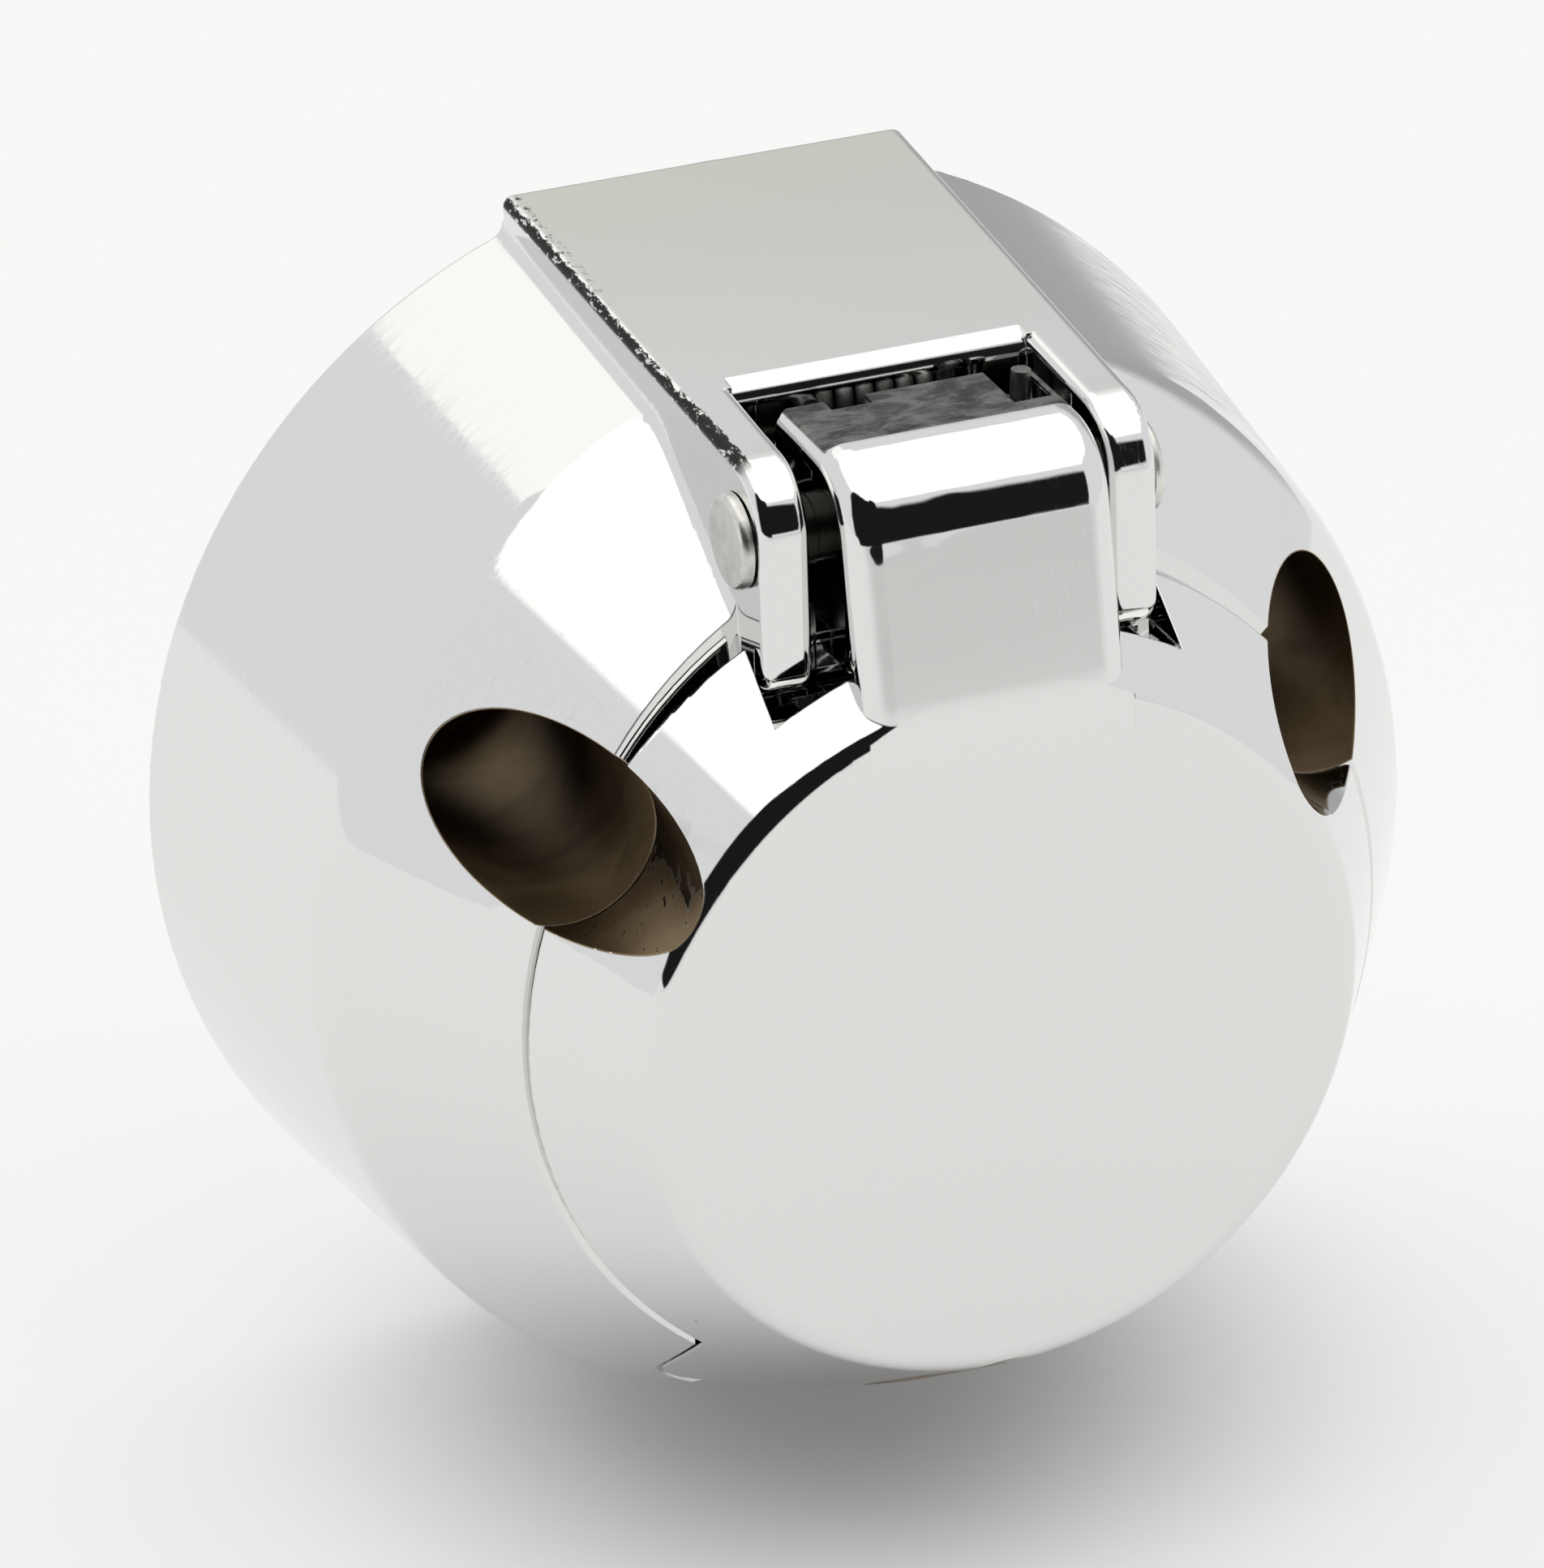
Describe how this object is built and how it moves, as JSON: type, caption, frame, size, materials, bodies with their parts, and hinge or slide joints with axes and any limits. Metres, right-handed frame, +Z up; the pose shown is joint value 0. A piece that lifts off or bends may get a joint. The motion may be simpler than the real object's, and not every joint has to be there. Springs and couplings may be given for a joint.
{
  "type": "trailer socket",
  "caption": "Round die-cast trailer socket with a spring-closed hinged lid, recessed contact insert and screw access bores.",
  "frame": {"origin": "centre of the fixing circle on the flat mounting face", "axes": "+X to the right as seen from the front, +Y back into the bracket along the socket's axis, +Z up towards the hinge"},
  "size_m": [0.0766, 0.0472, 0.0766],
  "materials": {
    "chrome_housing": "bright chrome plate over die casting, faint polishing marks",
    "chrome_lid": "bright chrome plate over die casting, faint polishing marks",
    "rivet_steel": "plain steel, riveted heads",
    "spring_steel": "drawn spring wire",
    "screw_steel": "zinc plated",
    "contact_brass": "turned brass",
    "insert_plastic": "moulded, fine texture",
    "seal_rubber": "matt black rubber"
  },
  "bodies": {
    "socket_body": {"housing": "chrome_housing", "hinge_pin": "rivet_steel", "contact_carrier": "insert_plastic", "carrier_gasket": "seal_rubber", "carrier_screws": "screw_steel", "terminal_screws": "screw_steel", "contact_clips": "spring_steel", "rear_seal": "seal_rubber", "contact_left_indicator": "contact_brass", "contact_rear_fog": "contact_brass", "contact_earth": "contact_brass", "contact_right_indicator": "contact_brass", "contact_right_tail": "contact_brass", "contact_stop_lamps": "contact_brass", "contact_left_tail": "contact_brass"},
    "lid_body": {"lid": "chrome_lid", "lid_gasket": "seal_rubber", "lid_spring": "spring_steel"}
  },
  "joints": [
    {"name": "lid_hinge", "type": "hinge", "parent": "socket_body", "child": "lid_body", "pos_m": [0, -0.0378, 0.0305], "axis": [-1, 0, 0], "range_deg": [0, 108], "stiffness_Nm_per_rad": 0.06, "springref_deg": -51.57, "deforming": ["lid_spring"]}
  ]
}
